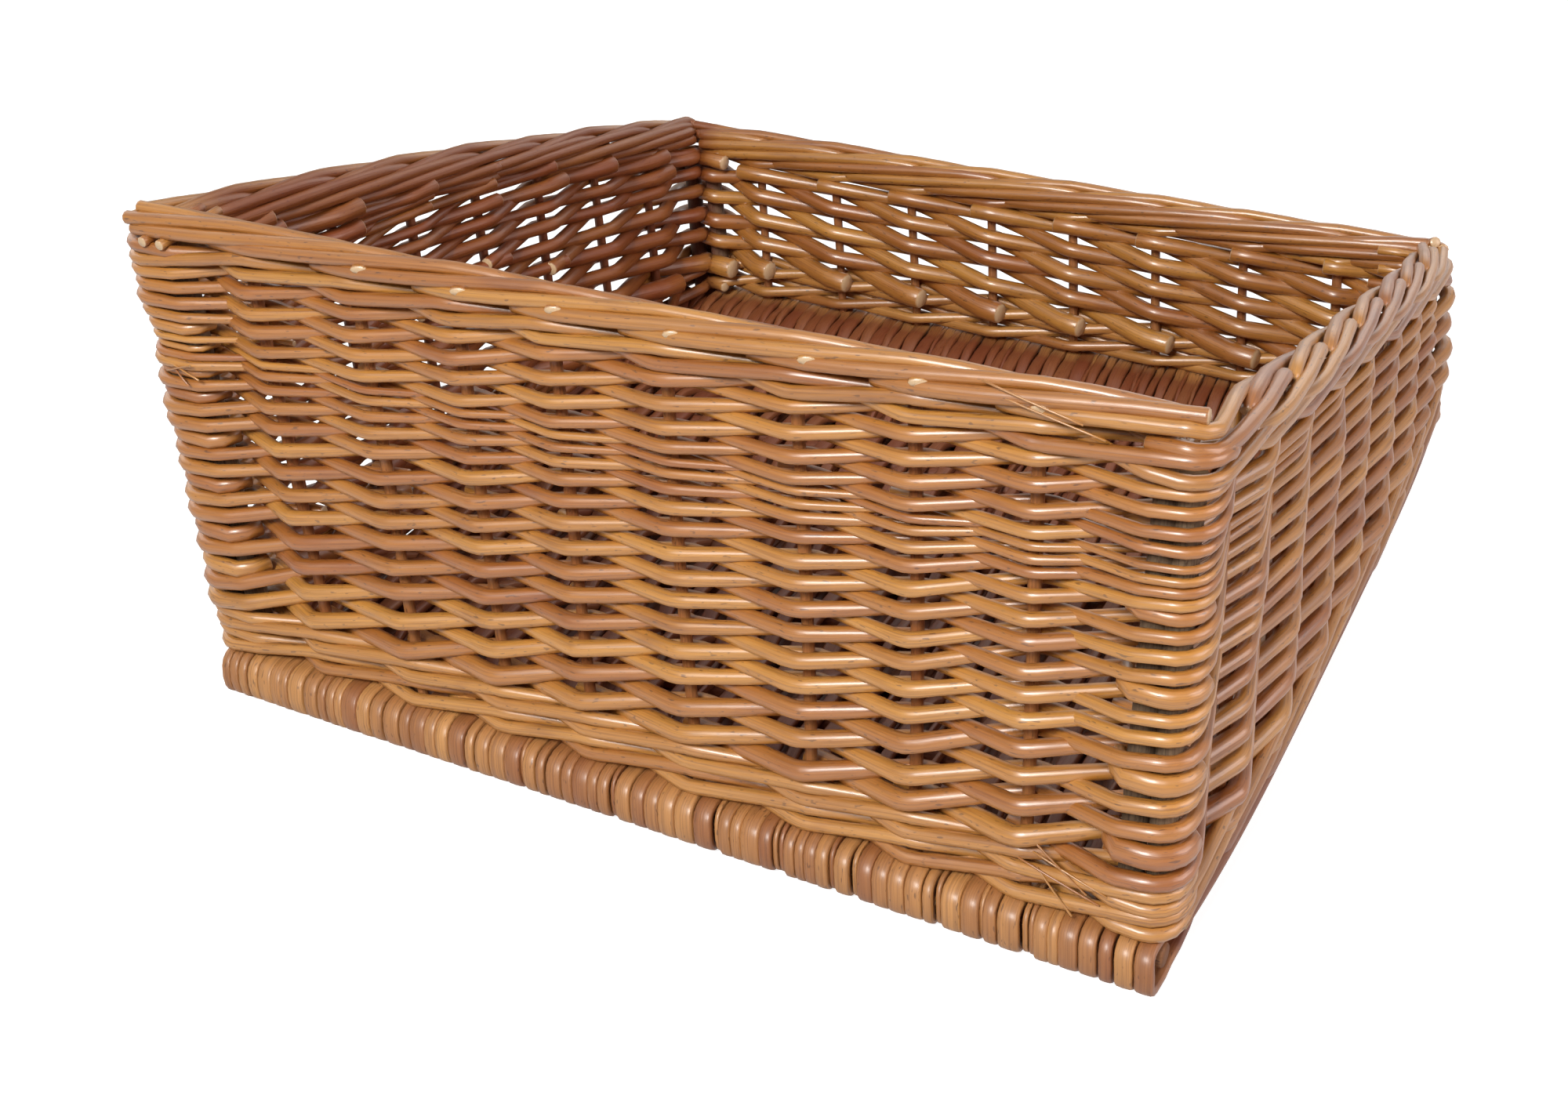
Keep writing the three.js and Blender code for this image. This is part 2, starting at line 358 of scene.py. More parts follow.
# Willow: the patterns are cycles per metre along and across a rod.
bark = dict(
    streak=(22, 1400, 1400),
    blotch=(28, 120, 120),
    fleck=(260, 900, 900),
    dent=(90, 260, 260),
    fleckColour=srgb(70, 40, 22),
    # painted shade colour, for the inside of the left end and the mat inside the walls
    paintedShadeColour=srgb(112, 48, 22),
    cutColour=srgb(204, 172, 132),
    oldCut=srgb(120, 78, 46),  # cut ends of the base sticks
    leftShade=0.72,  # how far the inside of the left end is painted darker: painted shade
    leftShadeX=[0.196, 0.208, -0.2235, -0.2195],  # from and to along -X, then along X
    leftShadeY=[-0.205, -0.17],
    floor=0.75,  # and how far the mat inside the walls is painted darker: painted shade
    floorZ=[-0.03, -0.024],
    floorY=[-0.212, -0.204],
)


def willow(name, pale, deep, shade, rough, coat, grain, end=bark["cutColour"]):
    # colour = pale to deep by rod, streaked along the rod, with dark specks, painted shade inside the left
    # end and on the mat inside the walls, and pale cut ends
    material = bpy.data.materials.new(name)
    material.use_nodes = True
    tree = material.node_tree
    tree.nodes.clear()
    w = Wire(tree)
    space = w.node("ShaderNodeAttribute", dict(attribute_name="rodSpace"), {}, "Vector")
    tone = w.node("ShaderNodeAttribute", dict(attribute_name="rodTone"), {}, "Fac")
    cut = w.node("ShaderNodeAttribute", dict(attribute_name="rodCut"), {}, "Fac")

    def noise(stretch, detail):
        scaled = w.node("ShaderNodeVectorMath", dict(operation="MULTIPLY"), {0: space, 1: stretch})
        return w.node("ShaderNodeTexNoise", {}, {"Vector": scaled, "Scale": 1.0, "Detail": detail})

    def mix(factor, a, b):
        return w.node("ShaderNodeMix", dict(data_type="RGBA"), {0: factor, 6: a, 7: b}, 2)

    def ramp(value, low, high):
        return w.node("ShaderNodeMapRange", {}, {0: value, 1: low, 2: high, 3: 0.0, 4: 1.0})

    streak = noise(bark["streak"], 3.0)
    blotch = noise(bark["blotch"], 2.0)
    fleck = noise(bark["fleck"], 1.0)
    dent = noise(bark["dent"], 2.0)
    place = w.node("ShaderNodeTexCoord", {}, {}, "Object")
    x, y, z = (w.node("ShaderNodeSeparateXYZ", {}, {0: place}, axis) for axis in range(3))
    # painted shade: the inside of the left end is painted darker, and so is the mat inside the walls
    leftEnd = ramp(0 - x, *bark["leftShadeX"][:2]) * ramp(x, *bark["leftShadeX"][2:])
    leftShade = leftEnd * ramp(y, *bark["leftShadeY"]) * bark["leftShade"]
    # painted shade on the mat inside the walls, below the foot wale
    inWalls = ramp(0 - w.math("ABSOLUTE", y), *bark["floorY"])
    floor = ramp(0 - z, *bark["floorZ"]) * inWalls * bark["floor"]
    hue = ramp(tone * 0.75 + blotch * 0.55 - 0.18, 0.0, 1.0)
    colour = mix(hue, pale, deep)
    colour = mix(ramp(streak, 0.42, 0.75) * grain, colour, shade)
    colour = mix(ramp(blotch, 0.6, 0.78) * 0.35, colour, shade)
    colour = mix(ramp(fleck, 0.67, 0.74) * 0.6, colour, bark["fleckColour"])
    # painted shade: darker and redder inside the left end and on the mat inside the walls
    colour = mix(w.math("MAXIMUM", leftShade, floor), colour, bark["paintedShadeColour"])
    colour = mix(cut, colour, end)
    roughness = ramp(streak, 0.0, 1.0) * 0.22 + (rough - 0.05) + cut * 0.3
    height = streak + blotch * 0.8 + dent * 1.6
    bump = w.node("ShaderNodeBump", {}, {"Strength": 0.4, "Distance": 0.0005, "Height": height})
    look = {
        "Base Color": colour,
        "Roughness": roughness,
        "Normal": bump,
        # less coat where the inside of the left end is painted shade
        "Coat Weight": (1 - leftShade) * coat,
        "Coat IOR": 1.7,
        "Coat Roughness": 0.3,
        "Specular IOR Level": 0.7,
    }
    shader = w.node("ShaderNodeBsdfPrincipled", {}, look)
    w.node("ShaderNodeOutputMaterial", {}, {"Surface": shader})
    return material


# Pale, deep and shade colours, then roughness, coat and grain.
finishes = dict(
    weave=willow("weave", srgb(202, 142, 64), srgb(156, 88, 34), srgb(100, 50, 20), 0.42, 0.8, 0.5),
    wale=willow("wale", srgb(198, 140, 70), srgb(154, 90, 38), srgb(100, 52, 22), 0.45, 0.7, 0.5),
    border=willow("border", srgb(196, 138, 62), srgb(152, 87, 34), srgb(96, 50, 20), 0.42, 0.8, 0.5),
    stakes=willow("stakes", srgb(190, 128, 76), srgb(156, 94, 52), srgb(100, 56, 30), 0.5, 0.3, 0.5),
    posts=willow("posts", srgb(146, 124, 98), srgb(108, 88, 68), srgb(70, 54, 42), 0.65, 0.0, 0.8),
    mat=willow("base_weave", srgb(198, 142, 82), srgb(136, 78, 40), srgb(92, 50, 26), 0.5, 0.3, 0.55),
    sticks=willow(
        "base_sticks", srgb(158, 104, 58), srgb(124, 78, 42), srgb(84, 50, 28), 0.55, 0.1, 0.6, bark["oldCut"]
    ),
)
wallNames = ["tall_wall", "right_end", "low_wall", "left_end"]


def wallOf(s):
    return int(np.searchsorted(arcMids, np.mod(s, around)) % 4)


# Base: lengthwise sticks with rods woven across them, each turned round the edge sticks.
base = dict(
    stick=0.005,
    stickZ=0.0112,
    stickEnd=0.2205,
    edgeY=0.213,  # the two edge sticks
    edgeIn=0.006,  # a loop ends this far inside its edge stick
    wander=0.0006,
    reach=0.2212,  # half the length of the mat
    rod=0.0022,
    widths=[0.0046, 0.0058, 0.0072, 0.0084],
    slit=0.0022,  # a narrow rod that lies deeper leaves a dark slit
    slitShare=0.12,
    slitDeep=0.86,
    rise=0.0089,
    out=0.0135,
    wave=0.0072,
    wavePitch=0.071,
    inY=[0.030, 0.024, 0.017, 0.009],  # the ends lie back beside the edge stick
    inZ=[-0.1, 0.4, 0.85, 1.0],
    splint=dict(x=0.213, y=0.2165, z=0.0036, thick=0.0016, wide=0.0053),
    ends=[[0.2130, 0.0120, 0.0036], [0.2190, 0.0165, 0.0040], [0.2225, 0.0205, 0.0036]],  # x, z, radius
    endY=0.2065,
)


def baseSticks():
    rods = []
    for number in range(1, 8):
        x = np.linspace(-base["stickEnd"], base["stickEnd"], 60)
        y = middle(f"base_stick_{number}")[1] + base["wander"] * np.sin(x * 30 + number)
        points = handmade(np.stack([x, y, np.full(60, base["stickZ"])], -1))
        rods.append(rodOf(points, np.full(60, base["stick"])))
    return rods


def matWidths(most=120):
    # rods of mixed widths, stretched to fill the length of the mat
    slits = chance.random(most) < base["slitShare"]
    full = chance.choice(base["widths"], most) * chance.uniform(0.92, 1.08, most)
    widths = np.where(slits, base["slit"], full)
    widths = widths[: np.argmax(np.cumsum(widths) > 2 * base["reach"])]
    return widths * (2 * base["reach"] / widths.sum()), slits


def straightAcross(x, y, z, radius, wide, points):
    path = np.stack([np.full(points, x), np.linspace(-y, y, points), np.full(points, z)], -1)
    return rodOf(handmade(path), np.full(points, radius), (1, 0, 0), np.full(points, wide))


def baseWeave():
    # each rod: half a turn round an edge stick, over and under the sticks, half a turn round the far edge
    rods = []
    widths, slits = matWidths()
    splint = base["splint"]
    a = np.linspace(-np.pi / 2, np.pi / 2, 11)
    y = np.linspace(-base["edgeY"] + base["edgeIn"], base["edgeY"] - base["edgeIn"], 46)
    starts = np.cumsum(widths) - widths - base["reach"]
    for turn, (x, wide, slit) in enumerate(zip(starts, widths, slits)):
        over = 1 if turn % 2 == 0 else -1
        deep = base["slitDeep"] if slit else 1.0
        # loop: y = out cos a and z = over rise sin a, squared off
        outY = base["edgeY"] + base["out"] * deep * np.abs(np.cos(a)) ** 0.45
        outZ = over * base["rise"] * np.sign(np.sin(a)) * np.abs(np.sin(a)) ** 0.6
        wave = np.cos(np.pi * (y + base["edgeY"]) / base["wavePitch"])
        z = over * base["wave"] * np.clip(1.6 * wave, -1, 1)
        inY = base["edgeY"] - np.array(base["inY"])
        inZ = -over * base["rise"] * np.array(base["inZ"])
        yy = np.concatenate([-inY, -outY, y, outY[::-1], inY[::-1]])
        zz = np.concatenate([inZ, outZ, z, outZ[::-1], inZ[::-1]])
        xx = x + wide / 2 + base["wander"] * np.sin(yy * 9 + turn)
        points = handmade(np.stack([xx, yy, base["stickZ"] + zz], -1))
        n = len(yy)
        thick = np.full(n, base["rod"] * chance.uniform(0.9, 1.0))
        rods.append(rodOf(points, thick, (1, 0, 0), np.full(n, wide / 2 * 0.95), 0.45))
        # a flat splint under the mat closes the slit beside the loop
        under = min(x + wide, splint["x"])
        rods.append(straightAcross(under, splint["y"], splint["z"], splint["thick"], splint["wide"], 9))
    for way in (-1, 1):
        # straight rods close each end of the mat and fill in under the wale
        for x, z, radius in base["ends"]:
            rods.append(straightAcross(way * x, base["endY"], z, radius, radius, 30))
    return rods


stickNodes = [f"base_stick_{i}" for i in range(1, 8)]
addPiece("base_sticks", baseSticks(), 14, stickNodes, finishes["sticks"])
addPiece("base_weave", baseWeave(), 12, ["base_weave"], finishes["mat"])

# Stakes and posts stand upright from the base into the border.
standing = dict(
    foot=0.0203,
    tuck=0.010,
    sway=0.0008,
    swell=0.04,
    moved=dict(tall_right_inner_post=4),  # mm along X
)


def uprights(nodes, radius, tuck):
    # x sways by a slow sine of the height, and the radius swells by a quicker one
    rods = []
    for node in nodes:
        x, y, _ = middle(node)
        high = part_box(node)[1][2] + tuck
        x = x + standing["moved"].get(node, 0) * mm
        if node.startswith("tall_wall_stake"):
            x = x + basket["shift"][int(node[-1]) - 1] * mm
        z = np.linspace(standing["foot"], high, 24)
        sway = standing["sway"] * np.sin(z * 22 + chance.uniform(0, 6))
        points = handmade(np.stack([x + sway, np.full(24, y), z], -1))
        swell = 1 + standing["swell"] * np.sin(z * 90 + chance.uniform(0, 6))
        rods.append(rodOf(points, radius * swell, (1, 0, 0)))
    return rods


for wall, number in zip(wallNames, (8, 7, 8, 7)):
    nodes = [f"{wall}_stake_{i}" for i in range(1, number + 1)]
    stakes = uprights(nodes, basket["stake"], standing["tuck"])
    addPiece(f"{wall}_stakes", stakes, 10, nodes, finishes["stakes"])
for wall in ("tall", "low"):
    nodes = [f"{wall}_{side}_{place}_post" for side in ("left", "right") for place in ("corner", "inner")]
    addPiece(f"{wall}_posts", uprights(nodes, basket["post"], 0), 16, nodes, finishes["posts"])

# Woven walls: each rod passes in front of one station and behind the next, and climbs a row as it does.
weave = dict(
    # share of the height of the tall wall, and how the rows share it there
    pitch=[
        [0.03, 14.4],
        [0.2, 12.6],
        [0.3, 10.8],
        [0.47, 10.8],
        [0.56, 8.6],
        [0.68, 5.2],
        [0.735, 4.5],
        [0.79, 7.7],
        [0.85, 9.6],
        [1, 9],
    ],
    rows=17,
    uneven=0.05,
    widest=1.35,  # a rod stops where the next row is this much higher
    thick=[0.0006, 0.245],  # radius = first + second x row height
    climb=0.55,
    behind=0.76,  # rods are slim behind the tall and right walls
    full=1.06,
    butt=1.35,  # the butt is the thick end
    tails=[0.006, 0.013],
)
filler = dict(tail=0.008, lift=0.005, thick=0.45, flat=0.8, q=[-0.003, 0.004])


def rowsAt(station):
    # rows lie level all round; the three under the border take up what is left of the height
    u = (np.arange(weave["rows"]) + 0.5) / weave["rows"]
    pitch = np.interp(u, *np.array(weave["pitch"]).T)
    pitch = pitch / pitch.sum() * (basket["tall"] - basket["border"] - basket["weaveFoot"])
    high = float(rimAlong(np.array([station["at"]]))[0]) - basket["border"] - basket["weaveFoot"]
    number = int(np.argmin(np.abs(np.cumsum(pitch) - high))) + 1
    pitch = pitch[:number].copy()
    pitch[-3:] += (high - pitch.sum()) / 3
    level = basket["weaveFoot"] + np.cumsum(pitch) - pitch / 2
    pitch = pitch * station.get("slim", 1)
    if not station.get("lumps"):
        return level + chance.normal(0, weave["uneven"], number) * pitch, pitch, []
    # at the tall corners some places hold a short rod that only turns round the posts
    slots = number + len(station["lumps"])
    short = np.isin(np.arange(slots), station["lumps"])
    share = np.interp((np.arange(slots) + 0.5) / slots, (np.arange(number) + 0.5) / number, pitch)
    share = share / share.sum() * high
    level = basket["weaveFoot"] + np.cumsum(share) - share / 2
    return level[~short], pitch, [(level[i], share[i]) for i in station["lumps"]]


rows = [rowsAt(station) for station in stations]


def followRows():
    # the next front crossing of a rod is two stations on and one row up, where that row is there
    after, before = {}, set()
    for i in range(count):
        j = (i + 2) % count
        for k in range(len(rows[i][0])):
            if k + 1 < len(rows[j][0]) and rows[j][1][k + 1] < weave["widest"] * rows[i][1][k]:
                after[(i, k)] = (j, k + 1)
                before.add((j, k + 1))
    return after, before


def weaver(start, chain, butt):
    # a rod that starts inside, then takes turns: in front at each crossing of the chain, behind after it
    level = np.array([rows[a][0][b] for a, b in chain])
    pitch = np.array([rows[a][1][b] for a, b in chain])
    front = start + 2 * np.arange(len(chain))
    places = np.concatenate([[start - 1], np.stack([front, front + 1], -1).ravel()])
    rise = np.concatenate([np.diff(level), [pitch[-1]]])
    climb = np.stack([level, level + weave["climb"] * rise], -1).ravel()
    heights = np.concatenate([[level[0] - 0.5 * pitch[0]], climb])
    radii = weave["thick"][0] + weave["thick"][1] * np.concatenate([[pitch[0]], np.repeat(pitch, 2)])
    radii *= chance.uniform(0.95, 1.06)
    sides = np.concatenate([[-1], np.tile([1, -1], len(chain))])
    slim = np.where(sides < 0, weave["behind"], 1)
    radii *= np.where(places % count > lowRight, weave["full"], slim)
    if butt:
        radii[0] *= weave["butt"]
    tails = chance.uniform(*weave["tails"], 2)
    return wovenRod(places.tolist(), sides, heights, radii, tails[0], tails[1])


def weavers():
    # each chain of crossings is cut into rods of four to seven, and a rod goes to the wall of its middle
    after, before = followRows()
    groups = [[], [], [], []]
    for i in range(count):
        for k in range(len(rows[i][0])):
            if (i, k) in before:
                continue
            chain = [(i, k)]
            while chain[-1] in after:
                chain.append(after[chain[-1]])
            done = 0
            while done < len(chain):
                size = int(chance.integers(4, 8))
                centre = chain[min(done + size // 2, len(chain) - 1)][0]
                rod = weaver(i + 2 * done, chain[done : done + size], done == 0)
                groups[wallOf(stations[centre]["at"])].append(rod)
                done += size
    return groups


def cornerFillers(corner):
    # q rises from inside the wall to outside the posts and falls back
    station = stations[corner]
    before, after, tail, lift = station["before"], station["after"], filler["tail"], filler["lift"]
    reach = [-before - tail, -before - lift, -before, *woven["arc"], after, after + lift, after + tail]
    n = len(reach)
    rods = []
    for level, share in rows[corner][2]:
        r = filler["thick"] * share
        q = np.full(n, basket["post"] + filler["flat"] * r)
        q[[0, 1, -2, -1]] = filler["q"] + filler["q"][::-1]
        points = onWall(station["at"] + np.array(reach), q, np.full(n, level))
        rods.append(rodOf(points, np.full(n, filler["flat"] * r), (0, 0, 1), np.full(n, r)))
    return rods


groups = weavers()
groups[3] += cornerFillers(0)
groups[0] += cornerFillers(tallRight)
for wall, rods in zip(wallNames, groups):
    addPiece(f"{wall}_weave", rods, 10, [f"{wall}_weave"], finishes["weave"])

# Foot wale: three rods at a time, each in front of two stations and behind the third.
wale = dict(rounds=2, height=0.0108, rod=0.0030, uneven=0.0003, tail=0.004)


def waleRods(foot, rounds, height, rod):
    # side and height repeat every three stations; the rods start at the low left corner
    rods = []
    places = np.arange(lowLeft, lowLeft + count + 2)
    for turn in range(rounds):
        for strand in range(3):
            phase = (places - strand - turn) % 3
            sides = np.array([1, 1, -1])[phase]
            lift = np.array([0.15, 0.85, 0.5])[phase] * height + chance.normal(0, wale["uneven"], len(places))
            heights = foot(stationAt(places.astype(float))) + turn * height + lift
            radii = np.full(len(places), rod) * chance.uniform(0.96, 1.05)
            rods.append(wovenRod(places.tolist(), sides, heights, radii, wale["tail"], wale["tail"]))
    return rods


def onMat(s):
    return np.full(len(s), basket["waleFoot"])


waleNodes = [f"{wall}_wale" for wall in wallNames]
footRods = waleRods(onMat, wale["rounds"], wale["height"], wale["rod"])
addPiece("foot_wale", footRods, 10, waleNodes, finishes["wale"])

# Border: a wale underneath; then at each stake a stroke that climbs the outside and an arch that goes down
# inside. Rows are station, out and above the rim in mm.
climbOut = [[-0.35, 1, -13], [-0.1, 4.6, -11.2], [0.15, 6.5, -9.9]]
climbOn = climbOut + [[0.6, 6.3, -8.2], [1.1, 5, -6.2]]
border = dict(
    rod=0.0028,
    stroke=climbOn
    + [[1.6, 3, -4.4], [2, 1.2, -3.4], [2.35, -0.8, -4.2], [2.8, -3.6, -6.6]]
    + [[3.3, -5.2, -10.4], [3.65, -3.2, -14], [3.9, -0.8, -16.5]],
    arch=[[-0.27, 1.6, -12], [-0.2, 1.2, -9], [0, -0.4, -6.6], [0.3, -2.8, -5.8], [0.8, -5, -7]]
    + [[1.4, -6.6, -9.6], [2, -7, -12.4], [2.4, -6.4, -14.6], [2.7, -4, -16.5], [2.95, -1.2, -18]],
    hump=[[-0.27, 2.4, -9.5], [-0.22, 2.2, -6.6], [-0.08, 1.2, -4.2], [0.15, -0.4, -3.2], [0.5, -3.2, -4]]
    + [[1.1, -5.8, -7.2], [1.8, -6.9, -11.2], [2.4, -6.6, -14.6], [2.7, -4.5, -16.5]],
    tuck=[[-0.3, 3.6, -15.5], [0, 6.6, -13.6], [0.28, 7.1, -11.8], [0.93, 5.2, -7.6]]
    + [[1.4, 2.6, -4.8], [1.58, 1.4, -5], [1.74, -0.4, -7.5], [1.9, -2.5, -11]],
    corner=climbOn + [[1.6, 3, -4.2], [2.12, 1.2, -3.2]],
    turn=climbOut
    + [[0.6, 6.2, -8], [0.93, 5.6, -7], [1.05, 5.2, -6.3], [1.3, 3, -4]]
    + [[1.55, 0.5, -2.6], [1.85, -2.5, -3.2], [2.3, -5.5, -6.5], [3, -6.8, -11]],
    standOut=[[-2, -0.003], [-1, -0.0075], [0, -0.0045]],  # strokes whose ends pass the tall left corner
    strokeEnd=8.95,
    archEnd=8.93,
    lap=0.002,  # rods reach this far past a corner
    step=0.00125,  # between points; one in three stays, and all of them near a corner
    soft=4,
    turnNear=0.004,
    wale=dict(rounds=1, height=0.0106, rod=0.0027),
)
cutEnd = dict(
    at=[2.17, 3.14, 4.1, 5.1, 6.12, 7.03, 7.98],  # stations
    q=[-0.001, 0.0084],
    slant=0.4,
    below=0.0079,
    thick=0.0036,
    wide=0.0017,
)
# Two pegs stick out at the tall left corner: X and Z of each.
peg = dict(places=[[-0.2105, 0.2225], [-0.2015, 0.2226]], y=[-0.19, -0.2262], radius=0.0022)
# Stray fibres: station, out and height in mm at both ends.
fibre = dict(
    radius=0.0004,
    bow=[0, 0.8, 0.6],
    ends=[
        [[8.1, 7, 52], [8.6, 11, 36]],
        [[8.15, 8, 46], [8.75, 11, 38]],
        [[8.05, 9, 42], [8.7, 11, 33]],
        [[8.2, 9, 40], [8.5, 12, 26]],
        [[7.6, 8, 234], [8.35, 10, 226]],
        [[7.7, 8, 230], [8.5, 10, 222]],
        [[0.02, 9, 163], [0.34, 12, 170]],
        [[0.05, 9, 168], [0.4, 12, 164]],
        [[0.1, 9, 166], [0.28, 12, 160]],
    ],
)


def borderRod(station, shape, begin=None, end=None, past=np.inf):
    # before its begin or past a corner the rod runs straight on along X, so its end can stand out
    path = np.array(shape) + np.array([0, chance.normal(0, 0.2), chance.normal(0, 0.25)])
    knots = np.stack([stationAt(station + path[:, 0]), path[:, 1] * mm, path[:, 2] * mm], -1)
    along = np.concatenate([[0], np.cumsum(np.linalg.norm(np.diff(knots, axis=0), axis=1))])
    fine = np.linspace(0, along[-1], int(along[-1] / border["step"]) + 2)
    s, q, z = (soften(np.interp(fine, along, knots[:, i]), border["soft"]) for i in range(3))
    first = s[0] if begin is None else begin
    last = s[-1] if end is None else end
    turns = np.concatenate([arcMids + lap * around for lap in (-1, 0, 1)])
    near = np.abs(np.subtract.outer(s, turns)).min(1)
    keep = (s >= first) & (s <= last) & ((near < border["turnNear"]) | (np.arange(len(s)) % 3 == 0))
    keep &= near > np.where(q < -0.0005, 0.0008 - q, -1)  # inside a corner the rod cuts across
    s, q, z = s[keep], q[keep], z[keep]
    ground = np.minimum(s if begin is None else np.maximum(s, 0), past)
    points = onWall(ground, q, z + rimAlong(ground))
    points[:, 0] += s - ground
    r = border["rod"] * chance.uniform(0.94, 1.06) * chance.uniform(0.98, 1.02, len(s))
    return rodOf(points, r)


def cutEnds():
    # an end cut slantwise: a short flat peg that points out of the border
    rods = []
    for place in cutEnd["at"]:
        q = np.linspace(*cutEnd["q"], 5)
        s = stationAt(place) + cutEnd["slant"] * q
        points = onWall(s, q, rimAlong(s) - cutEnd["below"] + chance.normal(0, 0.0003))
        rods.append(rodOf(points, np.full(5, cutEnd["thick"]), (0, 0, 1), np.full(5, cutEnd["wide"])))
    return rods


def strayFibres():
    # a thin line between two points with a slight bow: (1 - t) first + t last + 4 t (1 - t) bow
    rods = []
    t = np.linspace(0, 1, 7)[:, None]
    for first, last in fibre["ends"]:
        line = (1 - t) * np.array(first) + t * np.array(last) + 4 * t * (1 - t) * np.array(fibre["bow"])
        s, q, z = line.T
        rods.append(rodOf(onWall(stationAt(s), q * mm, z * mm), np.full(7, fibre["radius"])))
    return rods


def cornerPegs():
    rods = []
    for x, z in peg["places"]:
        points = handmade(np.stack([np.full(8, x), np.linspace(*peg["y"], 8), np.full(8, z)], -1))
        rods.append(rodOf(points, np.full(8, peg["radius"]), (1, 0, 0)))
    return rods


def underBorder(s):
    return rimAlong(s) - basket["border"]


def borderRods():
    stroke, arch, tuck, hump, lap = (border[key] for key in ("stroke", "arch", "tuck", "hump", "lap"))
    rightAt, leftAt, tallAt = stationAt(np.array([lowRight, lowLeft, count], float))
    tall = [borderRod(i, stroke, begin) for i, begin in border["standOut"]]
    tall += [borderRod(i, stroke, None, stationAt(border["strokeEnd"])) for i in range(1, 7)]
    tall.append(borderRod(7, border["corner"], None, None, stationAt(tallRight) + woven["arc"][0]))
    tall += [borderRod(8, border["turn"]), borderRod(9, tuck)]
    tall += [borderRod(i, arch, None, stationAt(border["archEnd"])) for i in range(-1, 9)]
    tall += cutEnds() + strayFibres()
    right = [borderRod(i, tuck, None, rightAt + lap) for i in range(10, 17)]
    right += [borderRod(i, hump, None, rightAt + lap) for i in range(10, 17)]
    low = [borderRod(i, stroke, rightAt - lap, leftAt + lap) for i in range(14, 26)]
    low += [borderRod(i, arch, rightAt - lap, leftAt + lap) for i in range(15, 26)]
    left = [borderRod(i, stroke, leftAt - lap, tallAt) for i in range(23, 34)]
    left += [borderRod(i, arch, leftAt - lap, tallAt) for i in range(24, 34)]
    left += cornerPegs()
    tall += waleRods(underBorder, **border["wale"])
    return [tall, right, low, left]


for wall, rods in zip(wallNames, borderRods()):
    addPiece(f"{wall}_border", rods, 10, [f"{wall}_border"], finishes["border"])

# Studio: a pale floor and a white background, and soft lights.
studio = dict(
    world=0.12,
    floor=0.5,
    floorHalf=40,
    floorZ=-0.0005,
    glow=0.85,
    sheen=0.3,
    sheenColour=(1, 0.9, 0.94),  # the floor is pinkish in what the rods mirror
    aim=(0, 0, 0.1),
    # name, place, size, power and colour
    lights=[
        ("key", (0.12, -1.6, 1.5), 0.5, 39, (1, 0.98, 0.95)),
        ("fill", (1.9, 0.1, 1.0), 1.2, 19, (1, 0.86, 0.84)),
        ("back", (0.1, 2.0, 0.9), 1.4, 6, (1, 0.98, 0.96)),
        ("side", (-1.9, 0.3, 0.9), 1.4, 8, (1, 0.98, 0.96)),
        ("top", (0.1, 0.3, 1.9), 1.4, 2, (1, 1, 1)),
    ],
)


def addFloor():
    half, z = studio["floorHalf"], studio["floorZ"]
    mesh = bpy.data.meshes.new("floor")
    corners = [(-half, -half, z), (half, -half, z), (half, half, z), (-half, half, z)]
    mesh.from_pydata(corners, [], [(0, 1, 2, 3)])
    material = bpy.data.materials.new("floor")
    material.use_nodes = True
    material.node_tree.nodes.clear()
    w = Wire(material.node_tree)
    seen = w.node("ShaderNodeLightPath", {}, {}, "Is Camera Ray") * studio["glow"]
    sheen = w.node("ShaderNodeLightPath", {}, {}, "Is Glossy Ray") * studio["sheen"]
    red, green, blue = (seen + sheen * share for share in studio["sheenColour"])
    glow = w.node("ShaderNodeCombineColor", {}, {0: red, 1: green, 2: blue})
    pale = (studio["floor"],) * 3 + (1,)
    look = {"Base Color": pale, "Roughness": 0.8, "Emission Color": glow, "Emission Strength": 1.0}
    w.node("ShaderNodeOutputMaterial", {}, {"Surface": w.node("ShaderNodeBsdfPrincipled", {}, look)})
    mesh.materials.append(material)
    floor = bpy.data.objects.new("floor", mesh)
    bpy.context.scene.collection.objects.link(floor)


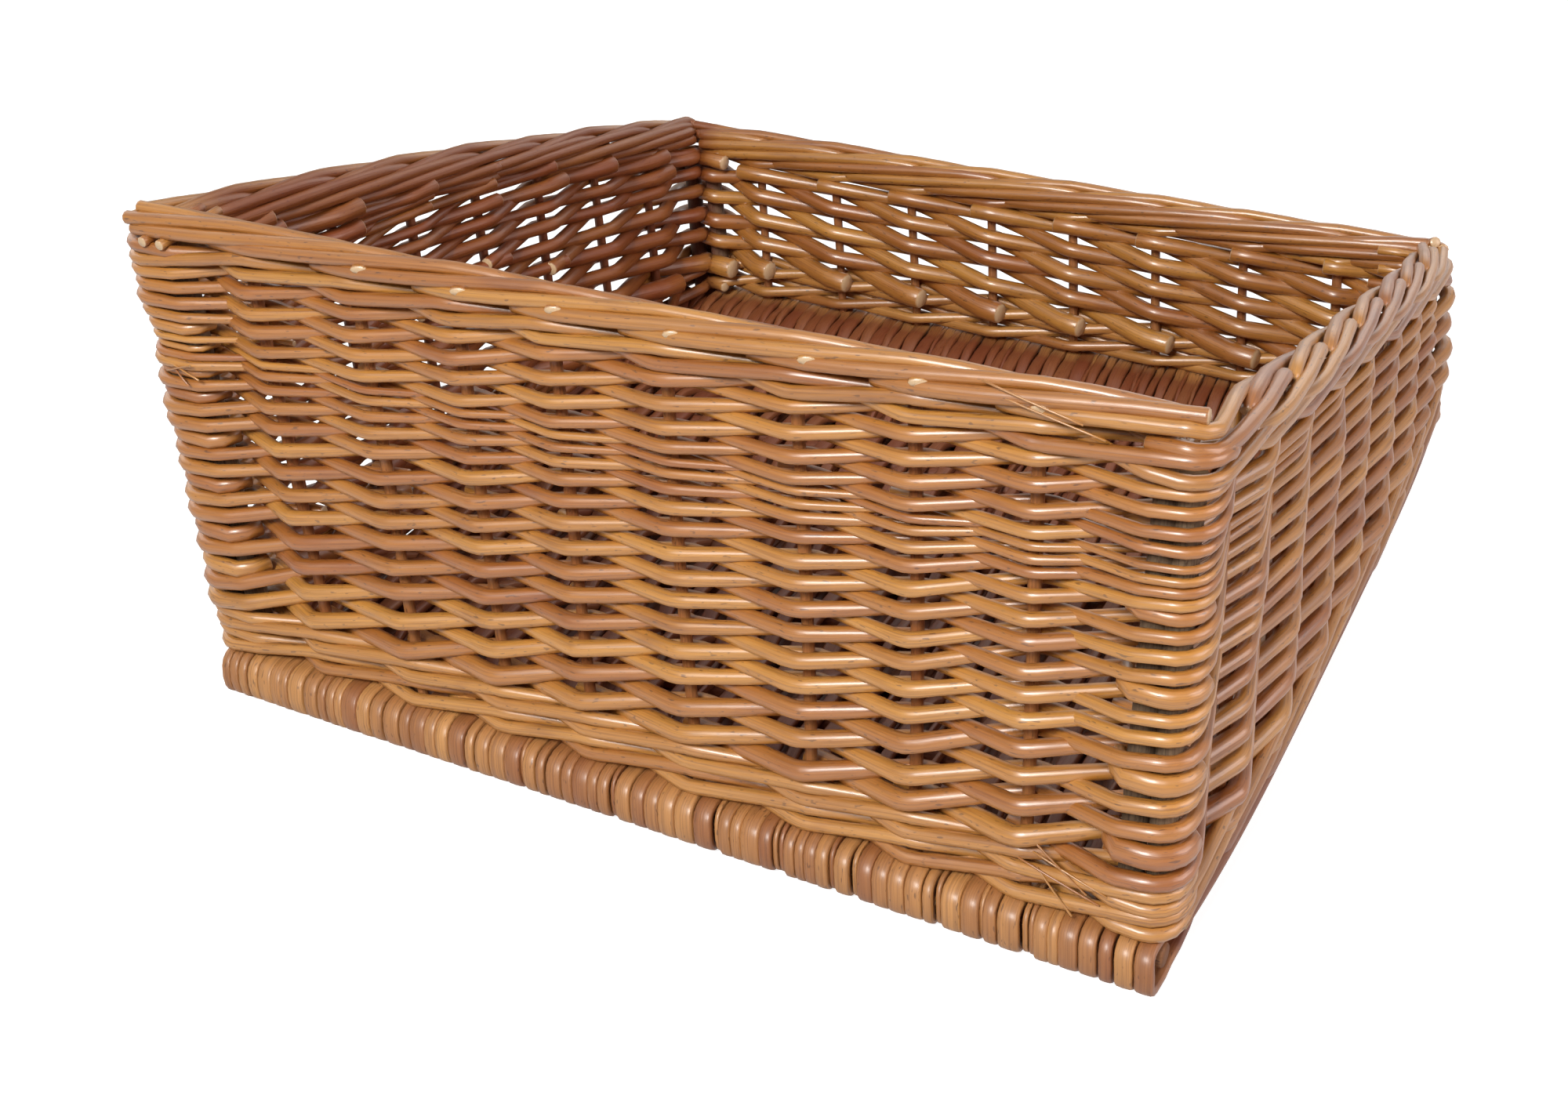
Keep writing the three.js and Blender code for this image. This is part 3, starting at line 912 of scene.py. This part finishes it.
def addLight(name, place, size, power, colour):
    data = bpy.data.lights.new(name, "AREA")
    data.size = size
    data.energy = power
    data.color = colour
    lamp = bpy.data.objects.new(name, data)
    back = np.array(place) - np.array(studio["aim"])
    back = back / np.linalg.norm(back)
    right = np.cross((0, 0, 1), back)
    right = right / np.linalg.norm(right)
    turn = Matrix(np.stack([right, np.cross(back, right), back], -1).tolist()).to_4x4()
    lamp.matrix_world = Matrix.Translation(place) @ turn
    bpy.context.scene.collection.objects.link(lamp)


def addWorld():
    # strength 1 where the camera sees it, less as light, with a sheen in what the rods mirror
    world = bpy.data.worlds.new("studio")
    world.use_nodes = True
    world.node_tree.nodes.clear()
    sky = Wire(world.node_tree)
    level = sky.node("ShaderNodeLightPath", {}, {}, "Is Camera Ray") * (1 - studio["world"]) + studio["world"]
    level = level + sky.node("ShaderNodeLightPath", {}, {}, "Is Glossy Ray") * studio["sheen"]
    shine = sky.node("ShaderNodeBackground", {}, {"Color": (1, 1, 1, 1), "Strength": level})
    sky.node("ShaderNodeOutputWorld", {}, {"Surface": shine})
    bpy.context.scene.world = world


addFloor()
for light in studio["lights"]:
    addLight(*light)
addWorld()
bpy.context.scene.view_settings.view_transform = "Standard"
print("studio", len(studio["lights"]), "lights")

# Camera: angles and place found from the corners of the basket in the photograph.
view = dict(
    azimuth=28.97,
    elevation=31.85,
    roll=-2.79,
    place=(0.3551, -0.7340, 0.5148),
    lens=44.206,
    sensor=36,
)


def addCamera():
    az, el, roll = np.radians([view["azimuth"], view["elevation"], view["roll"]])
    back = np.array([np.sin(az) * np.cos(el), -np.cos(az) * np.cos(el), np.sin(el)])
    right = np.array([np.cos(az), np.sin(az), 0])
    up = np.cross(back, right)
    turned = [right * np.cos(roll) + up * np.sin(roll), up * np.cos(roll) - right * np.sin(roll), back]
    data = bpy.data.cameras.new("camera")
    data.sensor_width = view["sensor"]
    data.lens = view["lens"]
    data.clip_start = 0.01
    camera = bpy.data.objects.new("camera", data)
    camera.matrix_world = Matrix.Translation(view["place"]) @ Matrix(np.stack(turned, -1).tolist()).to_4x4()
    bpy.context.scene.collection.objects.link(camera)
    bpy.context.scene.camera = camera


addCamera()
